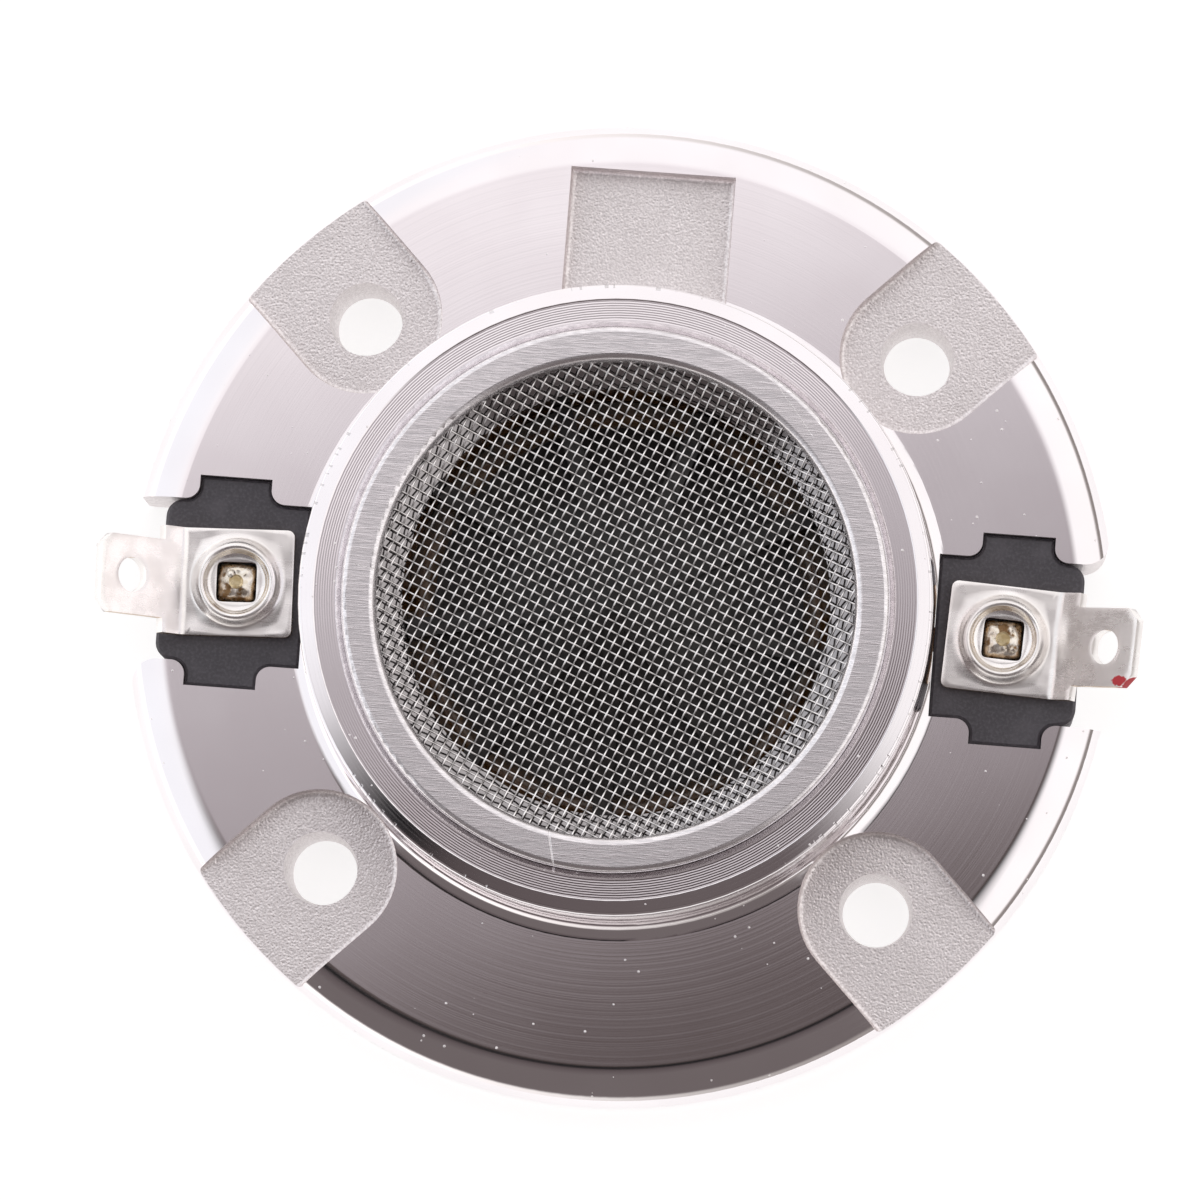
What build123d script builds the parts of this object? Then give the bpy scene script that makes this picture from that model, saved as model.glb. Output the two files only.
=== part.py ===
from build123d import *

import os
from math import cos, radians, sin

# Front plate of an annular-diaphragm horn tweeter, with everything that is assembled on it.
# Millimetres. Z = 0 is the rear face, which seats on the motor. +Z points out of the throat.
# The two terminals lie on the X axis.

# Front plate
PLATE_RADIUS = 40.0
FLANGE_Z = 8.0
RIM_Z = 5.6
SHOULDER_RADIUS = 36.6
REAR_CHAMFER = 0.4
BOSS_RADIUS = 25.25
BOSS_ROOT_ROUND = 1.4
BOSS_FACE_Z = 17.3
LIP_Z = 17.55
LIP_RADIUS = 24.05
LIP_ROUND = 0.3
LIP_DROP = 0.12
GROOVED_FACE_RADIUS = 22.3
GROOVE_COUNT = 8
GROOVE_DEPTH = 0.012

# Cast, unmachined pockets in the turned flange
CAST_FLOOR_Z = 6.4
CAST_ROOT_ROUND = 0.45
PAD_RADIUS = 6.3
WINDOW_WIDTH = 13.4
WINDOW_END = 36.0
WINDOW_BOSS_GAP = 0.3

# Horn bolts
BOLT_CIRCLE_RADIUS = 31.75
BOLT_HOLE_RADIUS = 2.7
BOLT_MOUTH_RADIUS = 3.0
BOLT_DRAFT_END_Z = 2.5
BOLT_ANGLES = (45, 135, 225, 315)

# Throat and the seat of its screen
THROAT_ENTRY_RADIUS = 17.1
THROAT_EXIT_Z = 14.9
SCREEN_SEAT_Z = 16.1
SCREEN_SEAT_INNER = 19.2
SCREEN_SEAT_RADIUS = 21.9

# Screen of woven wire, pressed into a shallow dish
MESH_THICK = 0.3
MESH_FLAT_RADIUS = 16.8
MESH_DISH_RADIUS = 18.9
MESH_OUTER_RADIUS = 21.5
MESH_DISH_DEPTH = 0.9

# Ring that holds the screen
HOLDER_INNER = 19.05
HOLDER_OUTER = 21.85
HOLDER_TOP_Z = 17.8
HOLDER_INNER_ROUND = 0.6
HOLDER_OUTER_ROUND = 0.5

# Rear recess, which takes the motor's pole pieces
RECESS_RADIUS = 22.7
PLUG_SEAT_Z = 8.4
GASKET_INNER = 23.3
GASKET_OUTER = 24.6
GASKET_THICK = 0.85
GASKET_GAP = 0.05

# Diaphragm: a film annulus, clamped at both edges, with a V that carries the coil
FILM = 0.12
CLAMP_FACE_Z = 5.9
FILM_INNER = 9.2
FILM_OUTER = 22.4
INNER_FLANK = 13.0
OUTER_FLANK = 18.6
APEX_RISE = 1.3
APEX_HALF = 0.2

# Voice coil
COIL_RADIUS = 15.9
FORMER_THICK = 0.1
FORMER_BOTTOM_Z = 2.0
WIRE_DEPTH = 0.45
WINDING_BOTTOM_Z = 2.2
WINDING_TOP_Z = 5.2

# Phase plug
PLUG_OUTER = 22.5
HUB_RADIUS = 14.9
HUB_LAND_INNER = 7.6
HUB_BORE_TOP_Z = 10.4
HUB_SHOULDER_Z = 8.2
HUB_SLOPE = (9.0, 11.6)
NOSE_Z = 14.6
NOSE_RADIUS = 0.9
FIN_COUNT = 9
FIN_THICK = 1.5
FIN_OUTER = 17.0
FIN_TOP_Z = 10.6
FIN_BOTTOM_Z = 7.95
FIN_FIRST_ANGLE = -90.0

# Clamp rings and their countersunk screws
RING_BOTTOM_Z = 4.4
OUTER_CLAMP = (18.4, 22.5)
INNER_CLAMP = (9.0, 13.2)
SCREW_RADIUS = 0.8
SCREW_FIT = 0.02
SCREW_CLEARANCE = 0.15
HEAD_RADIUS = 1.5
HEAD_HEIGHT = 0.85
CROSS_LENGTH = 1.9
CROSS_WIDTH = 0.36
CROSS_DEPTH = 0.5
OUTER_SCREWS = {"count": 6, "circle": 20.5, "first": 30.0, "length": 6.0}
INNER_SCREWS = {"count": 4, "circle": 11.1, "first": 45.0, "length": 4.0}

# Terminal slots and insulators
SLOT_INNER = 25.45
SLOT_WIDTH = 13.2
WING_CENTRE = 31.75
WING_LENGTH = 5.85
WING_SPAN = 17.15
SLOT_CORNER = 1.15
MOUTH_ROUND = 2.0
SLOT_FIT = 0.05
FLANGE_MARGIN = 1.0
FLANGE_THICK = 2.2
INSULATOR_REAR_Z = 0.1
INSULATOR_TOP_Z = 7.5
INSULATOR_END = 37.25
INSULATOR_CORNER = 1.4
INSULATOR_EDGE = 0.25
LEAD_POCKET_END = 33.4
LEAD_POCKET_WIDTH = 5.0
LEAD_WINDOW_WIDTH = 3.4
LEAD_WINDOW_Z = (3.5, 5.0)

# Terminals
SHEET = 0.8
TERMINAL_START = 26.45
TERMINAL_WIDTH = 8.7
TERMINAL_CORNER = 0.55
PIN_X = 31.0
TERMINAL_TURN = -2.5
BEND_START = 34.9
BEND_RADIUS = 1.0
BEND_ANGLE = 43.0
NECK_LENGTH = 1.6
TAB_LENGTH = 7.9
TAB_WIDTH = 6.35
TAB_CORNER = 0.95
TAB_HOLE_RADIUS = 1.4
TAB_HOLE_FROM_END = 3.1
CUP_RADIUS = 3.85
CUP_CREST_RADIUS = 2.7
CUP_HEIGHT = 1.0
CUP_HOLE = 3.25

# Lead pins, solder and ribbons
PIN_RADIUS = 0.58
PIN_FIT = 0.02
PIN_HEAD_RADIUS = 1.4
PIN_HEAD_HEIGHT = 0.7
PIN_TOP_Z = 9.15
SOLDER_RADIUS = 1.6
SOLDER_TOP_Z = 8.95
RIBBON = 0.1
RIBBON_WIDTH = 2.0
RIBBON_TOP_Z = 4.4
RIBBON_END = 32.4
RIBBON_BEND = 0.5

CENTRED = (Align.CENTER, Align.CENTER, Align.MIN)


def turned(*outline):
    """A solid of revolution about Z. The outline is a list of edges drawn as (radius, height)."""
    return revolve(Plane.XZ * make_face(outline), Axis.Z)


def turned_polygon(*points):
    """A solid of revolution about Z whose outline has only straight sides."""
    return turned(*Polyline(*points, close=True).edges())


def tube(inner, outer, bottom, top):
    """A plain ring between two radii and two heights."""
    return turned_polygon((inner, bottom), (outer, bottom), (outer, top), (inner, top))


def prism(sketch, bottom, top):
    """A sketch in the XY plane, extruded between two heights."""
    return Pos(0, 0, bottom) * extrude(sketch, top - bottom)


def around(count, circle, first=0.0):
    """Places spaced evenly on a circle about Z, each turned so that its X points outward."""
    step = 360.0 / count
    return [Rot(0, 0, first + step * i) * Pos(circle, 0, 0) for i in range(count)]


def slot_outline(grow, end):
    """Plan of a terminal slot on +X, a body with two side wings. grow widens it all round."""
    start = SLOT_INNER - grow
    body = Pos((start + end) / 2, 0) * Rectangle(end - start, SLOT_WIDTH + 2 * grow)
    wings = Pos(WING_CENTRE, 0) * Rectangle(WING_LENGTH + 2 * grow, WING_SPAN + 2 * grow)
    outline = body + wings
    inner_x = WING_CENTRE - WING_LENGTH / 2 - grow
    outer_x = WING_CENTRE + WING_LENGTH / 2 + grow
    shoulder_y = SLOT_WIDTH / 2 + grow
    corners = [
        v
        for v in outline.vertices()
        if abs(abs(v.Y) - shoulder_y) < 0.01 and min(abs(v.X - inner_x), abs(v.X - outer_x)) < 0.01
    ]
    return fillet(corners, SLOT_CORNER)


def slot_mouth():
    """The rounding of the plate's two corners where a slot runs out through the rim."""
    centre_y = SLOT_WIDTH / 2 + MOUTH_ROUND
    reach = PLATE_RADIUS - MOUTH_ROUND
    centre_x = (reach**2 - centre_y**2) ** 0.5
    far = PLATE_RADIUS + 2.0
    mouth = Sketch()
    for side in (-1, 1):
        wedge = Polygon(
            (centre_x, side * (SLOT_WIDTH / 2 - 1.0)),
            (far, side * (SLOT_WIDTH / 2 - 1.0)),
            (far, side * far * centre_y / centre_x),
            (centre_x, side * centre_y),
            align=None,
        )
        mouth += wedge - Pos(centre_x, side * centre_y) * Circle(MOUTH_ROUND)
    return mouth


def flange_slot_outline(grow):
    """Plan of the rear counterbore that traps an insulator's flange."""
    length = WING_LENGTH + 2 * FLANGE_MARGIN + 2 * grow
    return Pos(WING_CENTRE, 0) * Rectangle(length, WING_SPAN + 2 * FLANGE_MARGIN + 2 * grow)


def pad_cutter(angle):
    """A U-shaped cast pocket about one bolt hole, open through the rim."""
    run = PLATE_RADIUS - BOLT_CIRCLE_RADIUS + 4.0
    plan = Circle(PAD_RADIUS) + Pos(run / 2, 0) * Rectangle(run, 2 * PAD_RADIUS)
    cutter = extrude(Pos(BOLT_CIRCLE_RADIUS, 0) * plan, FLANGE_Z)
    cutter = fillet(cutter.edges().group_by(Axis.Z)[0], CAST_ROOT_ROUND)
    return Rot(0, 0, angle) * Pos(0, 0, CAST_FLOOR_Z) * cutter


def bolt_hole():
    """A cast through hole, drafted towards its mouth in the pad and straight near the rear face."""
    draft = (BOLT_MOUTH_RADIUS - BOLT_HOLE_RADIUS) / (CAST_FLOOR_Z - BOLT_DRAFT_END_Z)
    top = FLANGE_Z + 1
    return turned_polygon(
        (0, -1),
        (BOLT_HOLE_RADIUS, -1),
        (BOLT_HOLE_RADIUS, BOLT_DRAFT_END_Z),
        (BOLT_HOLE_RADIUS + draft * (top - BOLT_DRAFT_END_Z), top),
        (0, top),
    )


def window_cutter():
    """The rectangular cast pocket between the boss and the rim's shoulder, on +Y."""
    start = BOSS_RADIUS - 3.0
    plan = Pos(0, (start + WINDOW_END) / 2) * Rectangle(WINDOW_WIDTH, WINDOW_END - start)
    cutter = extrude(plan, FLANGE_Z)
    cutter = fillet(cutter.edges().group_by(Axis.Z)[0], CAST_ROOT_ROUND)
    boss = Cylinder(BOSS_RADIUS + WINDOW_BOSS_GAP, 2 * FLANGE_Z, align=CENTRED)
    return Pos(0, 0, CAST_FLOOR_Z) * (cutter - boss)


def screw(length):
    """A countersunk screw with a cross recess. Its head faces -Z, flush with Z = 0."""
    body = turned_polygon(
        (0, 0),
        (HEAD_RADIUS, 0),
        (HEAD_RADIUS, 0.1),
        (SCREW_RADIUS, HEAD_HEIGHT),
        (SCREW_RADIUS, length - 0.3),
        (SCREW_RADIUS - 0.3, length),
        (0, length),
    )
    bar = Box(CROSS_LENGTH, CROSS_WIDTH, 2 * CROSS_DEPTH)
    return body - (bar + Rot(0, 0, 90) * bar)


def screw_seat():
    """The hole of a clamp ring that a countersunk screw passes through."""
    radius = SCREW_RADIUS + SCREW_CLEARANCE
    head = HEAD_RADIUS + 0.05
    return turned_polygon(
        (0, -1),
        (head, -1),
        (head, 0.12),
        (radius, 0.12 + head - radius),
        (radius, 9),
        (0, 9),
    )


def screw_places(screws):
    """Where one ring's screws sit, with the heads flush in the ring's rear face."""
    places = around(screws["count"], screws["circle"], screws["first"])
    return [place * Pos(0, 0, RING_BOTTOM_Z) for place in places]


def grooved_face():
    """The fine turned grooves of the boss face, as (radius, height) from the lip inward."""
    pitch = (LIP_RADIUS - GROOVED_FACE_RADIUS) / (GROOVE_COUNT + 1)
    points = []
    for groove in range(GROOVE_COUNT):
        outer = LIP_RADIUS - pitch * (groove + 0.5)
        points += [(outer, BOSS_FACE_Z), (outer - pitch / 2, BOSS_FACE_Z - GROOVE_DEPTH)]
    return points + [(GROOVED_FACE_RADIUS + pitch / 2, BOSS_FACE_Z)]


def front_plate():
    lip_start = BOSS_RADIUS - LIP_ROUND
    lip_edge_z = LIP_Z - LIP_DROP
    shoulder_width = PLATE_RADIUS - SHOULDER_RADIUS
    shoulder = EllipticalCenterArc(
        (SHOULDER_RADIUS, RIM_Z),
        x_radius=shoulder_width,
        y_radius=FLANGE_Z - RIM_Z,
        start_angle=0,
        arc_size=90,
    )
    lip_round = CenterArc((lip_start, lip_edge_z - LIP_ROUND), LIP_ROUND, 0, 90)
    root_x = BOSS_RADIUS + BOSS_ROOT_ROUND
    root_z = FLANGE_Z + BOSS_ROOT_ROUND
    root_round = CenterArc((root_x, root_z), BOSS_ROOT_ROUND, 180, 90)
    plate = turned(
        *Polyline(
            (RECESS_RADIUS, 0),
            (PLATE_RADIUS - REAR_CHAMFER, 0),
            (PLATE_RADIUS, REAR_CHAMFER),
            (PLATE_RADIUS, RIM_Z),
        ).edges(),
        shoulder.edge(),
        Edge.make_line((SHOULDER_RADIUS, FLANGE_Z), (root_x, FLANGE_Z)),
        root_round.edge(),
        Edge.make_line((BOSS_RADIUS, root_z), (BOSS_RADIUS, lip_edge_z - LIP_ROUND)),
        lip_round.edge(),
        *Polyline(
            (lip_start, lip_edge_z),
            (LIP_RADIUS, LIP_Z),
            (LIP_RADIUS - 0.08, BOSS_FACE_Z),
            *grooved_face(),
            (GROOVED_FACE_RADIUS, BOSS_FACE_Z),
            (SCREEN_SEAT_RADIUS, BOSS_FACE_Z - 0.35),
            (SCREEN_SEAT_RADIUS, SCREEN_SEAT_Z),
            (SCREEN_SEAT_INNER, SCREEN_SEAT_Z),
            (THROAT_ENTRY_RADIUS, THROAT_EXIT_Z),
            (THROAT_ENTRY_RADIUS, PLUG_SEAT_Z),
            (RECESS_RADIUS, PLUG_SEAT_Z),
            (RECESS_RADIUS, 0),
        ).edges(),
    )
    for angle in BOLT_ANGLES:
        plate -= pad_cutter(angle)
    plate -= window_cutter()
    for place in around(len(BOLT_ANGLES), BOLT_CIRCLE_RADIUS, BOLT_ANGLES[0]):
        plate -= place * bolt_hole()
    slot = prism(slot_outline(0, PLATE_RADIUS + 3) + slot_mouth(), -1, FLANGE_Z + 1)
    slot += prism(flange_slot_outline(0), -1, FLANGE_THICK)
    window_length = SLOT_INNER - RECESS_RADIUS + 2
    window = Pos((SLOT_INNER + RECESS_RADIUS) / 2, 0) * Rectangle(window_length, LEAD_WINDOW_WIDTH)
    slot += prism(window, *LEAD_WINDOW_Z)
    plate -= slot
    plate -= Rot(0, 0, 180) * slot
    groove_depth = GASKET_GAP + GASKET_THICK
    plate -= tube(GASKET_INNER - 0.05, GASKET_OUTER + 0.05, -1, groove_depth)
    threads = Cylinder(SCREW_RADIUS + SCREW_FIT, OUTER_SCREWS["length"] + 0.4, align=CENTRED)
    for place in screw_places(OUTER_SCREWS):
        plate -= place * threads
    return plate


def throat_mesh():
    rim = SCREEN_SEAT_Z
    flat = rim - MESH_DISH_DEPTH
    return turned_polygon(
        (0, flat),
        (MESH_FLAT_RADIUS, flat),
        (MESH_DISH_RADIUS, rim),
        (MESH_OUTER_RADIUS, rim),
        (MESH_OUTER_RADIUS, rim + MESH_THICK),
        (MESH_DISH_RADIUS - 0.1, rim + MESH_THICK),
        (MESH_FLAT_RADIUS - 0.1, flat + MESH_THICK),
        (0, flat + MESH_THICK),
    )


def mesh_retaining_ring():
    bottom = SCREEN_SEAT_Z + MESH_THICK
    inner_round = CenterArc(
        (HOLDER_INNER + HOLDER_INNER_ROUND, HOLDER_TOP_Z - HOLDER_INNER_ROUND),
        HOLDER_INNER_ROUND,
        90,
        90,
    )
    outer_round = CenterArc(
        (HOLDER_OUTER - HOLDER_OUTER_ROUND, HOLDER_TOP_Z - HOLDER_OUTER_ROUND),
        HOLDER_OUTER_ROUND,
        0,
        90,
    )
    return turned(
        *Polyline(
            (HOLDER_INNER, HOLDER_TOP_Z - HOLDER_INNER_ROUND),
            (HOLDER_INNER, bottom),
            (HOLDER_OUTER, bottom),
            (HOLDER_OUTER, HOLDER_TOP_Z - HOLDER_OUTER_ROUND),
        ).edges(),
        outer_round.edge(),
        Edge.make_line(
            (HOLDER_OUTER - HOLDER_OUTER_ROUND, HOLDER_TOP_Z),
            (HOLDER_INNER + HOLDER_INNER_ROUND, HOLDER_TOP_Z),
        ),
        inner_round.edge(),
    )


def phase_plug():
    film_top = CLAMP_FACE_Z + FILM
    hub = turned_polygon(
        (HUB_LAND_INNER, film_top),
        (INNER_FLANK - 0.2, film_top),
        (INNER_FLANK, film_top + 0.4),
        (HUB_RADIUS, film_top + 1.45),
        (HUB_RADIUS, HUB_SHOULDER_Z),
        HUB_SLOPE,
        (NOSE_RADIUS, NOSE_Z),
        (0, NOSE_Z),
        (0, HUB_BORE_TOP_Z),
        (HUB_LAND_INNER - 1.0, HUB_BORE_TOP_Z),
    )
    rim = turned_polygon(
        (THROAT_ENTRY_RADIUS, film_top + 1.25),
        (OUTER_FLANK + 0.1, film_top + 0.42),
        (OUTER_FLANK + 0.3, film_top),
        (PLUG_OUTER, film_top),
        (PLUG_OUTER, PLUG_SEAT_Z),
        (THROAT_ENTRY_RADIUS, PLUG_SEAT_Z),
    )
    fin_outline = Polygon(
        (HUB_RADIUS - 2.0, FIN_BOTTOM_Z),
        (THROAT_ENTRY_RADIUS + 0.1, FIN_BOTTOM_Z),
        (THROAT_ENTRY_RADIUS + 0.1, PLUG_SEAT_Z),
        (FIN_OUTER, PLUG_SEAT_Z),
        (FIN_OUTER, FIN_TOP_Z),
        (1.5, NOSE_Z - 0.2),
        (0.5, HUB_BORE_TOP_Z + 1.0),
        (HUB_RADIUS - 5.0, HUB_BORE_TOP_Z - 0.6),
        align=None,
    )
    fin = Pos(0, FIN_THICK / 2, 0) * extrude(Plane.XZ * fin_outline, FIN_THICK)
    plug = hub + rim
    for place in around(FIN_COUNT, 0, FIN_FIRST_ANGLE):
        plug += place * fin
    for place in screw_places(OUTER_SCREWS):
        plug -= place * Cylinder(SCREW_RADIUS + SCREW_CLEARANCE, 9)
    for place in screw_places(INNER_SCREWS):
        plug -= place * Cylinder(SCREW_RADIUS + SCREW_FIT, INNER_SCREWS["length"] + 0.2, align=CENTRED)
    return plug


def diaphragm():
    low = CLAMP_FACE_Z
    high = low + APEX_RISE
    film = turned_polygon(
        (FILM_INNER, low),
        (INNER_FLANK, low),
        (COIL_RADIUS - APEX_HALF, high),
        (COIL_RADIUS + APEX_HALF + FORMER_THICK, high),
        (OUTER_FLANK, low),
        (FILM_OUTER, low),
        (FILM_OUTER, low + FILM),
        (OUTER_FLANK + 0.02, low + FILM),
        (COIL_RADIUS + APEX_HALF + FORMER_THICK + 0.03, high + FILM),
        (COIL_RADIUS - APEX_HALF - 0.03, high + FILM),
        (INNER_FLANK - 0.02, low + FILM),
        (FILM_INNER, low + FILM),
    )
    hole = Cylinder(SCREW_RADIUS + SCREW_CLEARANCE, 9)
    for place in screw_places(OUTER_SCREWS) + screw_places(INNER_SCREWS):
        film -= place * hole
    return film


def voice_coil_former():
    return tube(COIL_RADIUS, COIL_RADIUS + FORMER_THICK, FORMER_BOTTOM_Z, CLAMP_FACE_Z + APEX_RISE)


def voice_coil_winding():
    inner = COIL_RADIUS + FORMER_THICK
    return tube(inner, inner + WIRE_DEPTH, WINDING_BOTTOM_Z, WINDING_TOP_Z)


def clamp_ring(radii, screws):
    inner, outer = radii
    ring = turned_polygon(
        (inner, RING_BOTTOM_Z + 0.2),
        (inner + 0.2, RING_BOTTOM_Z),
        (outer - 0.2, RING_BOTTOM_Z),
        (outer, RING_BOTTOM_Z + 0.2),
        (outer, CLAMP_FACE_Z),
        (inner, CLAMP_FACE_Z),
    )
    for place in screw_places(screws):
        ring -= place * screw_seat()
    return ring


def clamp_screws(screws):
    return Compound(children=[place * screw(screws["length"]) for place in screw_places(screws)])


def rear_gasket():
    return tube(GASKET_INNER, GASKET_OUTER, GASKET_GAP, GASKET_GAP + GASKET_THICK)


def terminal_insulator():
    plan = slot_outline(-SLOT_FIT, INSULATOR_END)
    ends = [v for v in plan.vertices() if abs(v.X - INSULATOR_END) < 0.01]
    plan = fillet(ends, INSULATOR_CORNER)
    body = prism(plan, INSULATOR_REAR_Z, INSULATOR_TOP_Z)
    body = chamfer(body.edges().group_by(Axis.Z)[-1], INSULATOR_EDGE)
    body += prism(flange_slot_outline(-SLOT_FIT), INSULATOR_REAR_Z, FLANGE_THICK - SLOT_FIT)
    pocket_start = SLOT_INNER - 2.0
    pocket = Pos((pocket_start + LEAD_POCKET_END) / 2, 0) * Rectangle(
        LEAD_POCKET_END - pocket_start, LEAD_POCKET_WIDTH
    )
    body -= prism(pocket, -1, RIBBON_TOP_Z)
    body -= Pos(PIN_X, 0, 0) * Cylinder(PIN_RADIUS + PIN_FIT, 4 * FLANGE_Z)
    return body


def terminal():
    low = INSULATOR_TOP_Z
    high = low + SHEET
    length = BEND_START - TERMINAL_START
    plan = Pos(TERMINAL_START + length / 2, 0) * Rectangle(length, TERMINAL_WIDTH)
    plan = fillet(plan.vertices().group_by(Axis.X)[0], TERMINAL_CORNER)
    blank = prism(plan - Pos(PIN_X, 0) * Circle(CUP_RADIUS), low, high)
    crest = high + CUP_HEIGHT
    cup = turned_polygon(
        (CUP_RADIUS, low),
        (CUP_RADIUS, high),
        (CUP_CREST_RADIUS + 0.28, crest - 0.12),
        (CUP_CREST_RADIUS, crest),
        (CUP_CREST_RADIUS - 0.25, crest - 0.15),
        (CUP_CREST_RADIUS - 0.5, high + 0.25),
        (0, high + 0.25),
        (0, low + 0.4),
        (CUP_CREST_RADIUS - 0.4, low + 0.4),
        (CUP_CREST_RADIUS - 0.1, low + 0.95),
        (CUP_CREST_RADIUS + 0.1, low + 0.95),
        (CUP_RADIUS - 0.4, low),
    )
    opening = fillet(Rectangle(CUP_HOLE, CUP_HOLE).vertices(), 0.3)
    cup -= prism(opening, 0, crest + 1)
    centre = (BEND_START, low + SHEET + BEND_RADIUS)
    middle = BEND_RADIUS + SHEET / 2
    bend_line = CenterArc(centre, middle, -90, BEND_ANGLE)
    bend = Pos(0, TERMINAL_WIDTH / 2, 0) * extrude(Plane.XZ * trace(bend_line, SHEET), TERMINAL_WIDTH)
    outer = BEND_RADIUS + SHEET
    rise = radians(BEND_ANGLE)
    slope = Plane(
        origin=(centre[0] + outer * sin(rise), 0, centre[1] - outer * cos(rise)),
        x_dir=(cos(rise), 0, sin(rise)),
        z_dir=(-sin(rise), 0, cos(rise)),
    )
    neck = Pos(NECK_LENGTH / 2, 0) * Rectangle(NECK_LENGTH, TERMINAL_WIDTH)
    tab = Pos(TAB_LENGTH / 2, 0) * Rectangle(TAB_LENGTH, TAB_WIDTH)
    tab = chamfer(tab.vertices().group_by(Axis.X)[-1], TAB_CORNER)
    tab -= Pos(TAB_LENGTH - TAB_HOLE_FROM_END, 0) * Circle(TAB_HOLE_RADIUS)
    blade = slope * extrude(neck + tab, SHEET)
    whole = blank + Pos(PIN_X, 0, 0) * cup + bend + blade
    return Pos(PIN_X, 0, 0) * Rot(0, 0, TERMINAL_TURN) * Pos(-PIN_X, 0, 0) * whole


def lead_pin():
    head_top = RIBBON_TOP_Z - RIBBON
    return Pos(PIN_X, 0, 0) * turned_polygon(
        (0, head_top - PIN_HEAD_HEIGHT),
        (PIN_HEAD_RADIUS - 0.3, head_top - PIN_HEAD_HEIGHT),
        (PIN_HEAD_RADIUS, head_top - 0.3),
        (PIN_HEAD_RADIUS, head_top),
        (PIN_RADIUS, head_top),
        (PIN_RADIUS, PIN_TOP_Z - 0.15),
        (PIN_RADIUS - 0.15, PIN_TOP_Z),
        (0, PIN_TOP_Z),
    )


def solder_joint():
    return Pos(PIN_X, 0, 0) * turned_polygon(
        (PIN_RADIUS, INSULATOR_TOP_Z),
        (SOLDER_RADIUS, INSULATOR_TOP_Z),
        (SOLDER_RADIUS, SOLDER_TOP_Z - 0.65),
        (SOLDER_RADIUS - 0.35, SOLDER_TOP_Z - 0.25),
        (PIN_RADIUS + 0.25, SOLDER_TOP_Z),
        (PIN_RADIUS, SOLDER_TOP_Z),
    )


def lead_ribbon():
    line_z = RIBBON_TOP_Z - RIBBON / 2
    start = COIL_RADIUS + FORMER_THICK + 0.06
    path = FilletPolyline(
        (start, WINDING_TOP_Z + RIBBON / 2),
        (start + 0.9, WINDING_TOP_Z + RIBBON / 2),
        (OUTER_CLAMP[0] - 0.3, line_z),
        (RIBBON_END, line_z),
        radius=RIBBON_BEND,
    )
    strip = extrude(Plane.XZ * trace(path, RIBBON), RIBBON_WIDTH)
    strip = Pos(0, RIBBON_WIDTH / 2, 0) * strip
    return strip - Pos(PIN_X, 0, 0) * Cylinder(PIN_RADIUS + PIN_FIT, 4 * FLANGE_Z)


def main():
    os.makedirs("parts", exist_ok=True)
    nodes = {
        "front_plate": front_plate(),
        "throat_mesh": throat_mesh(),
        "mesh_retaining_ring": mesh_retaining_ring(),
        "phase_plug": phase_plug(),
        "diaphragm": diaphragm(),
        "voice_coil_former": voice_coil_former(),
        "voice_coil_winding": voice_coil_winding(),
        "outer_clamp_ring": clamp_ring(OUTER_CLAMP, OUTER_SCREWS),
        "outer_clamp_screws": clamp_screws(OUTER_SCREWS),
        "inner_clamp_ring": clamp_ring(INNER_CLAMP, INNER_SCREWS),
        "inner_clamp_screws": clamp_screws(INNER_SCREWS),
        "rear_gasket": rear_gasket(),
    }
    pairs = {
        "terminal_insulator": terminal_insulator(),
        "terminal": terminal(),
        "lead_pin": lead_pin(),
        "solder_joint": solder_joint(),
        "lead_ribbon": lead_ribbon(),
    }
    for name, shape in pairs.items():
        nodes[name + "_right"] = shape
        nodes[name + "_left"] = mirror(shape, Plane.YZ)
    for name, shape in nodes.items():
        export_step(shape, f"parts/{name}.step")


main()
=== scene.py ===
import math

import bpy
from mathutils import Matrix, Vector, noise


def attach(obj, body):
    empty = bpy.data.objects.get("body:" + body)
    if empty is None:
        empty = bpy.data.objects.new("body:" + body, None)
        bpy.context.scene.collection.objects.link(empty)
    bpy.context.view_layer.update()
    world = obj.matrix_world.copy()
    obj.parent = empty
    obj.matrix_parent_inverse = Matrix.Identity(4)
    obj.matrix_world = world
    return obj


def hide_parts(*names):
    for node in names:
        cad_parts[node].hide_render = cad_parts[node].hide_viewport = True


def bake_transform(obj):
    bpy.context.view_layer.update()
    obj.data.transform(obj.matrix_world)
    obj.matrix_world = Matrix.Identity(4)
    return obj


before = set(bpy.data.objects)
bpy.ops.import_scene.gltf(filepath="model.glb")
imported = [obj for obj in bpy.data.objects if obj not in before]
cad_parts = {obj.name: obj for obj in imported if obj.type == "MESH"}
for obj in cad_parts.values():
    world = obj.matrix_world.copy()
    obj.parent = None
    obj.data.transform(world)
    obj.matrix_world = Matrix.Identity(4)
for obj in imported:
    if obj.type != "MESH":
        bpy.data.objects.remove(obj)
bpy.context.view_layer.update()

# The tweeter's front plate lies on its rear face, with its throat up. All sizes below are in
# millimetres, in the frame of the CAD model, and become metres where a mesh is made.
MM = 0.001

# Front plate, as far as its surfaces are told apart here
FLANGE_Z = 8.0
RIM_Z = 5.6
PLATE_RADIUS = 40.0
SHOULDER_RADIUS = 36.6
BOSS_RADIUS = 25.25
RECESS_RADIUS = 22.7
LIP_RADIUS = 24.05
GROOVED_FACE_RADIUS = 22.3

# Woven screen
WIRE_RADIUS = 0.078
WARP_ANGLE = math.radians(67.2)
WARP_PITCH = 0.69
WARP_CRIMP = 0.095
WEFT_PITCH = 0.76
WEFT_CRIMP = 0.05
SCREEN_FLAT_Z = 15.35
SCREEN_RIM_Z = 16.25
SCREEN_FLAT_RADIUS = 16.7
SCREEN_DISH_RADIUS = 19.0
SCREEN_CUT_RADIUS = 20.9
STEPS_PER_CROSSING = 4
WIRE_SIDES = 6

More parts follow.
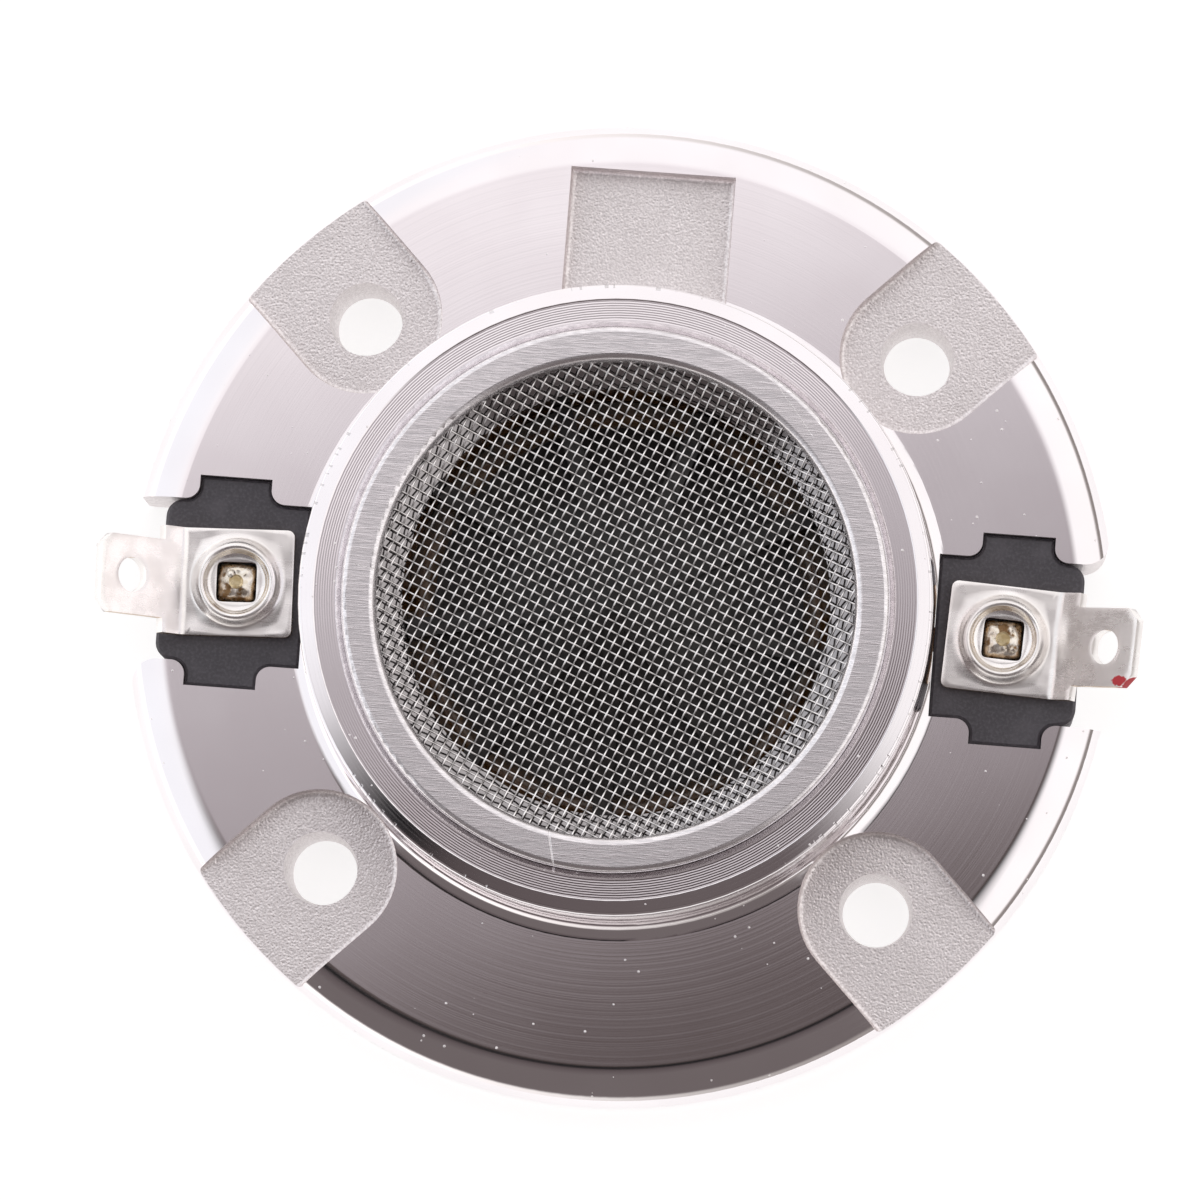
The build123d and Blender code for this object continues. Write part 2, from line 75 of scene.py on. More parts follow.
# Terminals, drawn for the right one before it is turned about its pin
PIN_X = 31.0
TERMINAL_TURN = math.radians(-2.5)
SHEET = 0.8
SHEET_BOTTOM_Z = 7.5
BLANK_START = 26.45
BLANK_WIDTH = 8.7
BLANK_CORNER = 0.55
BEND_START = 34.9
BEND_RADIUS = 1.0
BEND_ANGLE = math.radians(43.0)
NECK_LENGTH = 1.6
TAB_LENGTH = 6.3
TAB_WIDTH = 6.35
TAB_CORNER = 0.95
TAB_HOLE_RADIUS = 1.4
TAB_HOLE_FROM_END = 3.1
CUP_HOLE = 3.25
CUP_PROFILE = (
    (2.3, 0.25), (2.4, 0.34), (2.5, 0.55), (2.62, 0.8), (2.76, 0.94), (2.9, 0.98),
    (3.06, 0.9), (3.2, 0.72), (3.36, 0.46), (3.52, 0.2), (3.68, 0.05), (3.82, 0.0),
)

# Moving coil
FORMER_OUTER = 16.0
WINDING_BOTTOM_Z = 2.2
WINDING_TOP_Z = 5.2
WINDING_LAYERS = 3
WINDING_TURNS = 20
CLAMP_FACE_Z = 5.9
FILM = 0.12
FILM_INNER = 9.2
FILM_OUTER = 22.4
INNER_FLANK = 13.0
OUTER_FLANK = 18.6
APEX_RADIUS = 15.95
APEX_RISE = 1.3

# Lead ribbons
RIBBON = 0.1
RIBBON_WIDTH = 2.0
RIBBON_TOP_Z = 4.4
RIBBON_END = 32.4


# ---------------------------------------------------------------- meshes


def piece(name, points, faces, look):
    """A smooth mesh object from points in millimetres."""
    data = bpy.data.meshes.new(name)
    data.from_pydata([(x * MM, y * MM, z * MM) for x, y, z in points], [], faces)
    data.polygons.foreach_set("use_smooth", [True] * len(data.polygons))
    data.materials.append(look)
    obj = bpy.data.objects.new(name, data)
    bpy.context.scene.collection.objects.link(obj)
    return obj


def tube_along(path, radius, sides, points, faces):
    """Adds a closed round wire along a list of points to a mesh."""
    rings = []
    for i, centre in enumerate(path):
        ahead = path[min(i + 1, len(path) - 1)] - path[max(i - 1, 0)]
        side = ahead.cross(Vector((0, 0, 1))).normalized()
        up = side.cross(ahead).normalized()
        start = len(points)
        for k in range(sides):
            turn = 2 * math.pi * k / sides
            points.append(centre + (side * math.cos(turn) + up * math.sin(turn)) * radius)
        rings.append(start)
    for a, b in zip(rings, rings[1:]):
        for k in range(sides):
            n = (k + 1) % sides
            faces.append((a + k, b + k, b + n, a + n))
    faces.append(tuple(rings[0] + k for k in range(sides)))
    faces.append(tuple(rings[-1] + k for k in reversed(range(sides))))


def smooth_step(low, high, value):
    """0 below low, 1 above high, and a smooth rise between."""
    t = min(max((value - low) / (high - low), 0.0), 1.0)
    return t * t * (3 - 2 * t)


# ---------------------------------------------------------------- materials


class Look:
    """A material made of nodes. Each method adds a node and returns its output."""

    def __init__(self, name, color, metallic, roughness, **sockets):
        self.material = bpy.data.materials.new(name)
        self.material.use_nodes = True
        self.tree = self.material.node_tree
        self.shader = self.tree.nodes["Principled BSDF"]
        self.set("Base Color", color)
        self.set("Metallic", metallic)
        self.set("Roughness", roughness)
        for socket, value in sockets.items():
            self.set(socket.replace("_", " "), value)
        coordinates = self.node("TexCoord").outputs["Object"]
        self.place = self.vector("SCALE", coordinates, 1 / MM)
        split = self.node("SeparateXYZ", Vector=self.place)
        self.x, self.y, self.z = split.outputs

    def feed(self, socket, value):
        if isinstance(value, bpy.types.NodeSocket):
            self.tree.links.new(value, socket)
        elif socket.type == "RGBA" and len(value) == 3:
            socket.default_value = (*value, 1.0)
        else:
            socket.default_value = value

    def set(self, name, value):
        self.feed(self.shader.inputs[name], value)

    def node(self, kind, settings=None, **inputs):
        made = self.tree.nodes.new("ShaderNode" + kind)
        for name, value in (settings or {}).items():
            setattr(made, name, value)
        for name, value in inputs.items():
            self.feed(made.inputs[name.replace("_", " ")], value)
        return made

    def math(self, operation, a, b=0.0):
        made = self.node("Math", {"operation": operation})
        self.feed(made.inputs[0], a)
        self.feed(made.inputs[1], b)
        return made.outputs[0]

    def vector(self, operation, a, b):
        made = self.node("VectorMath", {"operation": operation})
        self.feed(made.inputs[0], a)
        self.feed(made.inputs["Scale" if operation == "SCALE" else 1], b)
        return made.outputs[0]

    def stretched(self, x, y, z):
        """The place in millimetres, with each axis scaled."""
        return self.vector("MULTIPLY", self.place, (x, y, z))

    def noise(self, scale, detail=2.0, at=None):
        inputs = {"Scale": scale, "Detail": detail, "Vector": at or self.place}
        return self.node("TexNoise", **inputs).outputs["Fac"]

    def noise_line(self, at, scale, detail=2.0):
        inputs = {"Scale": scale, "Detail": detail, "W": at}
        return self.node("TexNoise", {"noise_dimensions": "1D"}, **inputs).outputs["Fac"]

    def cells(self, scale, at=None):
        inputs = {"Scale": scale, "Vector": at or self.place}
        return self.node("TexVoronoi", **inputs).outputs["Distance"]

    def rise(self, value, low, high, bottom=0.0, top=1.0):
        """A smooth step from bottom to top as the value goes from low to high."""
        made = self.node(
            "MapRange", {"interpolation_type": "SMOOTHSTEP"},
            Value=value, From_Min=low, From_Max=high, To_Min=bottom, To_Max=top)
        return made.outputs["Result"]

    def mix(self, factor, a, b):
        made = self.node("Mix", {"data_type": "RGBA"})
        self.feed(made.inputs[0], factor)
        self.feed(made.inputs[6], a)
        self.feed(made.inputs[7], b)
        return made.outputs[2]

    def bump(self, height, depth, normal=None):
        """A bump whose height of 1 stands for a depth in millimetres."""
        inputs = {"Height": height, "Distance": depth * MM}
        if normal is not None:
            inputs["Normal"] = normal
        made = self.node("Bump", **inputs)
        self.set("Normal", made.outputs["Normal"])
        return made.outputs["Normal"]

    def radius(self):
        plan = self.vector("MULTIPLY", self.place, (1, 1, 0))
        return self.node("VectorMath", {"operation": "LENGTH"}, Vector=plan).outputs["Value"]

    def angle(self):
        return self.math("ARCTAN2", self.y, self.x)

    def band(self, value, low, high, soft):
        """1 between low and high and 0 outside, with soft edges."""
        inside = self.rise(value, low - soft, low + soft)
        return self.math("MULTIPLY", inside, self.rise(value, high - soft, high + soft, 1.0, 0.0))

    def scratch(self, start, end, width):
        """1 along a straight scratch between two points of the plan."""
        a, b = Vector((*start, 0)), Vector((*end, 0))
        along = (b - a).normalized()
        across = Vector((-along.y, along.x, 0))
        off = self.vector("SUBTRACT", self.vector("MULTIPLY", self.place, (1, 1, 0)), a)
        side = self.node("VectorMath", {"operation": "DOT_PRODUCT"}, Vector=off)
        side.inputs[1].default_value = across
        run = self.node("VectorMath", {"operation": "DOT_PRODUCT"}, Vector=off)
        run.inputs[1].default_value = along
        wander = self.math("MULTIPLY", self.math("SUBTRACT", self.noise(0.7), 0.5), 0.25)
        distance = self.math("ABSOLUTE", self.math("ADD", side.outputs["Value"], wander))
        line = self.rise(distance, width * 0.4, width, 1.0, 0.0)
        length = (b - a).length
        return self.math("MULTIPLY", line, self.band(run.outputs["Value"], 0, length, 0.3))

    def flange_normal(self, radius):
        """The exact normal of the turned flange and shoulder, and elsewhere the mesh's own.

        The grooves of the boss face keep a part of their depth.
        """
        width, height = PLATE_RADIUS - SHOULDER_RADIUS, FLANGE_Z - RIM_Z
        past = self.math("MAXIMUM", self.math("SUBTRACT", radius, SHOULDER_RADIUS), 0.0)
        outward = self.math("DIVIDE", past, self.math("MULTIPLY", radius, width**2))
        up = self.math("DIVIDE", self.math("SUBTRACT", self.z, RIM_Z), height**2)
        lean = self.vector("SCALE", self.vector("MULTIPLY", self.place, (1, 1, 0)), outward)
        raised = self.node("CombineXYZ", Z=up).outputs[0]
        exact = self.vector("ADD", lean, raised)
        exact = self.node("VectorMath", {"operation": "NORMALIZE"}, Vector=exact).outputs["Vector"]
        own = self.node("NewGeometry").outputs["Normal"]
        on_rim = self.math("GREATER_THAN", self.z, RIM_Z + 0.02)
        clear = self.math("GREATER_THAN", radius, BOSS_RADIUS + 1.45)
        face = self.band(radius, GROOVED_FACE_RADIUS, LIP_RADIUS, 0.02)
        share = self.math("MAXIMUM", clear, self.math("MULTIPLY", face, 0.75))
        return self.mix(self.math("MULTIPLY", on_rim, share), own, exact)

    def turned_grain(self):
        """Stretches the gloss across tool marks that run round the Z axis."""
        self.set("Anisotropic", 0.3)
        tangent = self.node("VectorMath", {"operation": "CROSS_PRODUCT"}, Vector=(0, 0, 1))
        self.feed(tangent.inputs[1], self.place)
        self.set("Tangent", tangent.outputs[0])


def turned_aluminium():
    """The plate's machined surfaces: a near mirror with fine tool marks, nicks and dust, and painted shade
    on the throat's cone.
    """
    look = Look("turned_aluminium", (0.9, 0.865, 0.88), 1.0, 0.08)
    look.turned_grain()
    radius = look.radius()
    marks = look.noise_line(radius, 6.0, 2.0)
    round_edge = look.band(radius, BOSS_RADIUS - 0.34, BOSS_RADIUS + 0.02, 0.04)
    lip = look.math("MULTIPLY", round_edge, look.rise(look.z, 16.5, 16.9))
    around = look.math("MULTIPLY", look.angle(), BOSS_RADIUS)
    chips = look.rise(look.noise_line(around, 1.9, 1.0), 0.63, 0.68)
    worn = look.rise(look.noise(0.16, 0.0), 0.42, 0.62)
    nicks = look.math("MULTIPLY", lip, look.math("MULTIPLY", chips, worn))
    smear = look.rise(look.noise(0.12, 2.0), 0.35, 0.7)
    metal = look.mix(smear, (0.885, 0.85, 0.865), (0.92, 0.89, 0.905))
    metal = look.mix(look.math("MULTIPLY", nicks, 0.35), metal, (0.22, 0.21, 0.21))
    # Painted shade: the throat's cone under the screen is darkened towards a dark grey, though it is the
    # same turned metal as the rest.
    painted_cone_shade = look.math("MULTIPLY", look.rise(radius, 19.2, 19.4, 1.0, 0.0), look.rise(look.z, 14.6, 14.9))
    metal = look.mix(look.math("MULTIPLY", painted_cone_shade, 0.75), metal, (0.16, 0.15, 0.15))
    dust_size = look.rise(look.noise(0.9, 0.0), 0.38, 0.7, 0.0, 0.1)
    dust = look.rise(look.math("SUBTRACT", look.cells(0.85), dust_size), -0.02, 0.0, 1.0, 0.0)
    look.set("Base Color", look.mix(look.math("MULTIPLY", dust, 0.6), metal, (0.95, 0.92, 0.9)))
    look.set("Roughness", look.math("ADD", look.rise(marks, 0.3, 0.75, 0.06, 0.11),
                                    look.math("MULTIPLY", dust, 0.5)))
    normal = look.bump(marks, 0.0003, look.flange_normal(radius))
    normal = look.bump(look.math("SUBTRACT", 1.0, nicks), 0.02, normal)
    look.bump(dust, 0.008, normal)
    return look.material


def cast_aluminium():
    """The plate's unmachined pockets: sandy, softly glinting."""
    look = Look("cast_aluminium", (0.8, 0.75, 0.75), 1.0, 0.55)
    sand = look.noise(5.5, 3.0)
    pits = look.cells(3.2)
    clouds = look.noise(0.25, 2.0)
    tone = look.mix(look.rise(sand, 0.3, 0.7), (0.72, 0.675, 0.675), (0.93, 0.88, 0.88))
    look.set("Base Color", look.mix(look.rise(clouds, 0.35, 0.7, 0.0, 0.3), tone, (0.7, 0.655, 0.65)))
    look.set("Roughness", look.rise(sand, 0.25, 0.75, 0.5, 0.36))
    normal = look.bump(sand, 0.045)
    look.bump(look.rise(pits, 0.0, 0.5), 0.02, normal)
    return look.material


def brushed_aluminium():
    """The ring that holds the screen, brushed straight across in one direction."""
    look = Look("brushed_aluminium", (0.85, 0.82, 0.84), 1.0, 0.25)
    fine = look.noise(1.0, 3.0, look.stretched(0.9, 13.0, 13.0))
    broad = look.noise(1.0, 2.0, look.stretched(0.25, 2.6, 2.6))
    streak = look.math("ADD", look.math("MULTIPLY", fine, 0.65), look.math("MULTIPLY", broad, 0.35))
    metal = look.mix(look.rise(streak, 0.36, 0.64), (0.68, 0.655, 0.67), (0.93, 0.9, 0.915))
    scratches = look.scratch((-3.15, -21.8), (-3.75, -18.9), 0.07)
    short_ones = (
        ((9.6, 20.3), (14.6, 14.2)), ((15.4, 17.2), (18.6, 10.6)), ((-20.9, 1.2), (-18.9, 0.9)),
    )
    for start, end in short_ones:
        scratches = look.math("MAXIMUM", scratches, look.scratch(start, end, 0.04))
    look.set("Base Color", look.mix(look.math("MULTIPLY", scratches, 0.5), metal, (1.0, 0.98, 0.98)))
    look.set("Roughness", look.rise(streak, 0.35, 0.65, 0.3, 0.2))
    normal = look.bump(streak, 0.012)
    look.bump(look.math("SUBTRACT", 1.0, scratches), 0.02, normal)
    return look.material


def steel_wire(name, tone, crimp):
    """Drawn stainless wire, with a painted highlight on its crowns and painted shade where it dips."""
    look = Look(name, (tone, tone * 0.98, tone * 0.96), 1.0, 0.28)
    change = look.noise(1.6, 2.0)
    middle = look.rise(look.radius(), SCREEN_FLAT_RADIUS, SCREEN_DISH_RADIUS, SCREEN_FLAT_Z, SCREEN_RIM_Z)
    # Painted light: the higher a wire stands over the cloth's middle, the lighter it is; the bright tone
    # is a painted highlight on the crowns and the dull tone is painted shade in the dips.
    crown_highlight = look.rise(look.math("SUBTRACT", look.z, middle), crimp * -0.2, crimp * 1.4)
    dull = (tone * 0.36, tone * 0.345, tone * 0.34)
    bright = (tone * 1.18, tone * 1.15, tone * 1.14)
    metal = look.mix(crown_highlight, dull, bright)
    worn = look.rise(change, 0.35, 0.65, 0.0, 0.25)
    look.set("Base Color", look.mix(worn, metal, (tone * 0.75, tone * 0.73, tone * 0.72)))
    look.set("Roughness", look.rise(change, 0.3, 0.7, 0.36, 0.24))
    look.bump(look.noise(14.0, 2.0), 0.004)
    return look.material


def moulded(name, dark, light, grain, roughness):
    """A moulded plastic with a fine grain and faint smudges."""
    look = Look(name, dark, 0.0, roughness)
    speckle = look.noise(grain, 3.0)
    smudge = look.noise(0.35, 3.0)
    tone = look.mix(look.rise(speckle, 0.4, 0.75), dark, light)
    faded = tuple(0.5 * (a + b) * 1.35 for a, b in zip(dark, light))
    look.set("Base Color", look.mix(look.rise(smudge, 0.5, 0.75, 0.0, 0.5), tone, faded))
    look.set("Roughness", look.rise(smudge, 0.35, 0.7, roughness + 0.08, roughness - 0.06))
    look.bump(speckle, 0.018)
    return look.material


def amber_film():
    """Thin amber polymer film, glossy and a little see-through."""
    look = Look("amber_film", (0.2, 0.095, 0.03), 0.0, 0.25, Coat_Weight=0.15, Alpha=0.9)
    cloud = look.noise(0.4, 2.0)
    look.set("Base Color", look.mix(look.rise(cloud, 0.3, 0.7), (0.07, 0.03, 0.01), (0.13, 0.062, 0.022)))
    look.set("Roughness", look.rise(cloud, 0.3, 0.7, 0.16, 0.28))
    look.bump(look.noise(2.5, 2.0), 0.01)
    return look.material


def enamelled_wire():
    """Copper winding wire under clear enamel, with a bead of lacquer here and there."""
    look = Look("enamelled_wire", (0.56, 0.25, 0.12), 1.0, 0.28, Coat_Weight=0.5, Coat_Roughness=0.12)
    turn = look.noise_line(look.z, 5.0, 1.0)
    patch = look.noise(0.5, 2.0)
    metal = look.mix(look.rise(turn, 0.35, 0.65), (0.46, 0.18, 0.08), (0.66, 0.31, 0.15))
    look.set("Base Color", look.mix(look.rise(patch, 0.5, 0.7, 0.0, 0.6), metal, (0.36, 0.13, 0.06)))
    look.set("Roughness", look.rise(patch, 0.4, 0.7, 0.24, 0.4))
    look.bump(look.noise(6.0, 2.0), 0.01)
    return look.material


def plated_steel():
    """Zinc-plated screws with the marks of heading and driving."""
    look = Look("plated_steel", (0.62, 0.62, 0.65), 1.0, 0.3)
    rub = look.noise(2.4, 3.0)
    look.set("Base Color", look.mix(look.rise(rub, 0.35, 0.65), (0.48, 0.48, 0.5), (0.74, 0.74, 0.78)))
    look.set("Roughness", look.rise(rub, 0.3, 0.7, 0.42, 0.24))
    look.bump(rub, 0.02)
    return look.material


def turned_ring():
    """The inner clamp ring, plainly turned."""
    look = Look("turned_ring", (0.74, 0.74, 0.75), 1.0, 0.25)
    look.turned_grain()
    marks = look.noise_line(look.radius(), 6.0, 2.0)
    look.set("Base Color", look.mix(look.rise(marks, 0.35, 0.65), (0.64, 0.64, 0.65), (0.8, 0.8, 0.81)))
    look.set("Roughness", look.rise(marks, 0.3, 0.7, 0.2, 0.32))
    look.bump(marks, 0.006)
    return look.material


def foam_rubber():
    """Closed-cell black gasket foam."""
    look = Look("foam_rubber", (0.03, 0.03, 0.031), 0.0, 0.85)
    pores = look.cells(4.5)
    pore, skin = (0.012, 0.012, 0.012), (0.045, 0.045, 0.046)
    look.set("Base Color", look.mix(look.rise(pores, 0.05, 0.5), pore, skin))
    look.set("Roughness", look.rise(pores, 0.0, 0.5, 0.95, 0.75))
    look.bump(pores, 0.08)
    return look.material


def tinned_brass(name, mark=None):
    """Tin-plated brass sheet, softly bright and dented. The mark is a dab of red paint."""
    look = Look(name, (0.86, 0.83, 0.81), 1.0, 0.22)
    rub = look.noise(0.45, 2.0)
    rolled = look.noise(1.0, 3.0, look.stretched(0.6, 6.0, 2.5))
    tone = look.mix(look.rise(rub, 0.35, 0.68), (0.87, 0.84, 0.82), (0.95, 0.925, 0.91))
    rough = look.math("ADD", look.rise(rub, 0.3, 0.7, 0.32, 0.22), look.rise(rolled, 0.4, 0.8, 0.0, 0.06))
    side_wall = look.node("NewGeometry").outputs["True Normal"]
    lean = look.node("SeparateXYZ", Vector=side_wall).outputs["Z"]
    raw = look.rise(look.math("ABSOLUTE", lean), 0.03, 0.12, 1.0, 0.0)
    tone = look.mix(look.math("MULTIPLY", raw, 0.8), tone, (0.52, 0.36, 0.2))
    if mark is not None:
        near = look.vector("MULTIPLY", look.vector("SUBTRACT", look.place, mark), (0.7, 1.5, 1.0))
        away = look.node("VectorMath", {"operation": "LENGTH"}, Vector=near).outputs["Value"]
        ragged = look.math("ADD", away, look.math("MULTIPLY", look.noise(2.2, 2.0), 0.5))
        paint = look.rise(ragged, 1.22, 1.32, 1.0, 0.0)
        tone = look.mix(paint, tone, (0.5, 0.03, 0.04))
        look.set("Metallic", look.math("SUBTRACT", 1.0, paint))
        rough = look.math("ADD", rough, look.math("MULTIPLY", paint, 0.25))
    look.set("Base Color", tone)
    look.set("Roughness", rough)
    normal = look.bump(look.noise(0.45, 1.0), 0.04)
    look.bump(rolled, 0.0008, normal)
    return look.material


def soft_solder():
    """Tin solder, partly frosted, with amber flux in its hollows."""
    look = Look("soft_solder", (0.82, 0.76, 0.66), 1.0, 0.3)
    frost = look.noise(2.0, 3.0)
    flux = look.noise(1.1, 2.0)
    tone = look.mix(look.rise(frost, 0.35, 0.65), (0.72, 0.65, 0.54), (0.96, 0.91, 0.83))
    stain = look.rise(flux, 0.52, 0.64)
    look.set("Base Color", look.mix(stain, tone, (0.22, 0.12, 0.045)))
    look.set("Metallic", look.math("SUBTRACT", 1.0, look.math("MULTIPLY", stain, 0.6)))
    look.set("Roughness", look.rise(frost, 0.3, 0.7, 0.2, 0.42))
    look.bump(frost, 0.05)
    return look.material


def drawn_metal(name, dull, bright):
    """Bare brass or copper, lightly tarnished."""
    look = Look(name, bright, 1.0, 0.3)
    tarnish = look.noise(1.3, 3.0)
    look.set("Base Color", look.mix(look.rise(tarnish, 0.35, 0.65), bright, dull))
    look.set("Roughness", look.rise(tarnish, 0.3, 0.7, 0.24, 0.42))
    look.bump(look.noise(5.0, 2.0), 0.01)
    return look.material


# ---------------------------------------------------------------- CAD nodes


def is_turned(face):
    """Whether a face of the plate was machined."""
    centre = face.center / MM
    radius = math.hypot(centre.x, centre.y)
    if centre.z > FLANGE_Z - 0.01 or centre.z < 0.02:
        return True
    if radius < RECESS_RADIUS + 0.05:
        return True
    sideways = abs(face.normal.x * centre.y - face.normal.y * centre.x) / radius
    if sideways > 0.2:
        return False
    if centre.z < RIM_Z:
        return radius > PLATE_RADIUS - 0.45
    across = (radius - SHOULDER_RADIUS) / (PLATE_RADIUS - SHOULDER_RADIUS)
    up = (centre.z - RIM_Z) / (FLANGE_Z - RIM_Z)
    return radius > SHOULDER_RADIUS - 0.4 and math.hypot(max(across, 0.0), up) > 0.93


def finish_cad_nodes():
    """Gives each CAD node that stays in view its material."""
    black = moulded("black_plastic", (0.012, 0.012, 0.013), (0.045, 0.045, 0.047), 5.0, 0.45)
    insulator = moulded("insulator_plastic", (0.058, 0.053, 0.062), (0.088, 0.082, 0.094), 4.0, 0.5)
    screws = plated_steel()
    brass = drawn_metal("pin_brass", (0.5, 0.38, 0.2), (0.78, 0.66, 0.42))
    looks = {
        "front_plate": turned_aluminium(),
        "mesh_retaining_ring": brushed_aluminium(),
        "phase_plug": moulded("plug_plastic", (0.01, 0.008, 0.0075), (0.028, 0.023, 0.021), 3.0, 0.42),
        "voice_coil_former": drawn_metal("coil_former", (0.4, 0.22, 0.07), (0.55, 0.33, 0.12)),
        "outer_clamp_ring": black,
        "outer_clamp_screws": screws,
        "inner_clamp_ring": turned_ring(),
        "inner_clamp_screws": screws,
        "rear_gasket": foam_rubber(),
    }
    for side in ("left", "right"):
        looks["terminal_insulator_" + side] = insulator
        looks["lead_pin_" + side] = brass
    for name, look in looks.items():
        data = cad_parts[name].data
        data.materials.clear()
        data.materials.append(look)
    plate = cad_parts["front_plate"].data
    plate.materials.append(cast_aluminium())
    plate.polygons.foreach_set(
        "material_index", [0 if is_turned(face) else 1 for face in plate.polygons])


# ---------------------------------------------------------------- woven screen


def screen_height(radius):
    """The middle height of the cloth: a flat floor, a rounded slant and a clamped rim."""
    rise = smooth_step(SCREEN_FLAT_RADIUS, SCREEN_DISH_RADIUS, radius)
    return SCREEN_FLAT_Z + (SCREEN_RIM_Z - SCREEN_FLAT_Z) * rise


def woven_wires(name, angle, pitch, crossing, crimp, look):
    """One family of the cloth's wires, each passing over and under the other family's."""
    along = Vector((math.cos(angle), math.sin(angle), 0))
    across = Vector((-along.y, along.x, 0))
    count = int(SCREEN_CUT_RADIUS / pitch)
    points, faces = [], []
    for wire in range(-count, count + 1):
        offset = wire * pitch
        half = math.sqrt(SCREEN_CUT_RADIUS**2 - offset**2)
        reach = int(half / crossing * STEPS_PER_CROSSING)
        path = []
        for step in range(-reach, reach + 1):
            run = step / STEPS_PER_CROSSING
            place = along * (run * crossing) + across * offset
            wander = noise.noise((place.x * 0.3, place.y * 0.3, offset)) * 0.03
            place += across * wander
            place.z = screen_height(place.length) + crimp * math.cos(math.pi * (run + wire))
            path.append(place)
        if len(path) > 2:
            tube_along(path, WIRE_RADIUS, WIRE_SIDES, points, faces)
    obj = piece(name, points, faces, look)
    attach(obj, "frame")
    return obj


def woven_screen():
    warp = woven_wires(
        "screen_warp_wires", WARP_ANGLE, WARP_PITCH, WEFT_PITCH, WARP_CRIMP,
        steel_wire("warp_wire", 0.9, WARP_CRIMP))
    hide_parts("throat_mesh")
    weft = woven_wires(
        "screen_weft_wires", WARP_ANGLE - math.pi / 2, WEFT_PITCH, WARP_PITCH, WEFT_CRIMP,
        steel_wire("weft_wire", 0.78, WEFT_CRIMP))
    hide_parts("throat_mesh")


# ---------------------------------------------------------------- terminals


def bend_arc():
    """The length of sheet that the bend takes, along its middle."""
    return BEND_ANGLE * (BEND_RADIUS + SHEET / 2)


def bent(run, height):
    """Where a point of the flat blank goes, as (x, z). height is over the sheet's middle."""
    middle = BEND_RADIUS + SHEET / 2
    past = run - BEND_START
    turn = min(max(past / bend_arc(), 0.0), 1.0) * BEND_ANGLE
    beyond = max(past - bend_arc(), 0.0)
    x = BEND_START + min(past, 0.0) + (middle - height) * math.sin(turn) + beyond * math.cos(turn)
    z = SHEET_BOTTOM_Z + SHEET / 2 + middle - (middle - height) * math.cos(turn) + beyond * math.sin(turn)
    return x, z


def cup_height(radius):
    """The height of the formed cup over the sheet, by the distance from the pin."""
    if radius <= CUP_PROFILE[0][0]:
        return CUP_PROFILE[0][1]
    for (r0, h0), (r1, h1) in zip(CUP_PROFILE, CUP_PROFILE[1:]):
        if radius <= r1:
            return h0 + (h1 - h0) * (radius - r0) / (r1 - r0)
    return 0.0


class Sheet:
    """The terminal's top skin, drawn flat. Points that meet are shared."""

    def __init__(self, seed):
        self.seed = seed
        self.index = {}
        self.points = []
        self.faces = []

    def point(self, run, y):
        key = (round(run, 3), round(y, 3))
        if key not in self.index:
            self.index[key] = len(self.points)
            height = cup_height(math.hypot(run - PIN_X, y))
            fade = smooth_step(BEND_START + 6, BEND_START + 2, run) if run > BEND_START + 2 else 1.0
            dent = noise.noise((run * 0.42, y * 0.42, self.seed)) * 0.05
            ripple = noise.noise((run * 1.3, y * 1.3, self.seed + 5)) * 0.008
            height += (dent + ripple) * fade - 0.03
            x, z = bent(run, SHEET / 2 + height)
            self.points.append(Vector((x, y, z)))
        return self.index[key]

    def quad_rows(self, rows):
        for low, high in zip(rows, rows[1:]):
            for k in range(len(low) - 1):
                self.faces.append((low[k], high[k], high[k + 1], low[k + 1]))

    def rings(self, centre, shapes):
        """Joins closed outlines round a centre. Each shape gives a distance by angle."""
        loops = [[self.point(centre + x, y) for x, y in shape] for shape in shapes]
        for inner, outer in zip(loops, loops[1:]):
            for k in range(len(inner)):
                n = (k + 1) % len(inner)
                self.faces.append((inner[k], outer[k], outer[n], inner[n]))


def between(a, b, share):
    return (a[0] + (b[0] - a[0]) * share, a[1] + (b[1] - a[1]) * share)


def on_circle(outline, radius):
    """The points of a circle that lie in the same directions as an outline's points."""
    return [(x * radius / math.hypot(x, y), y * radius / math.hypot(x, y)) for x, y in outline]


def square_reach(c, s):
    """How far a round-cornered square of half-width 1 reaches in the direction (c, s)."""
    power = 9
    return (abs(c) ** power + abs(s) ** power) ** (-1 / power)


def on_square(outline, half):
    """The points of a round-cornered square in the same directions as an outline's points."""
    result = []
    for x, y in outline:
        length = math.hypot(x, y)
        c, s = x / length, y / length
        reach = half * square_reach(c, s)
        result.append((c * reach, s * reach))
    return result


def walk(corners, spacing):
    """Evenly spaced points along straight runs between corners, ends included once."""
    result = []
    for a, b in zip(corners, corners[1:]):
        steps = max(1, round(math.dist(a, b) / spacing))
        result += [between(a, b, i / steps) for i in range(steps)]
    return result + [corners[-1]]


def strip_rows():
    """The places across the sheet that the blank, the bend and the tab share."""
    half, tab = BLANK_WIDTH / 2, TAB_WIDTH / 2
    outside = [tab + (half - tab) * i / 3 for i in range(1, 4)]
    inside = [-tab + TAB_WIDTH * i / 14 for i in range(15)]
    return [-y for y in reversed(outside)] + inside + outside


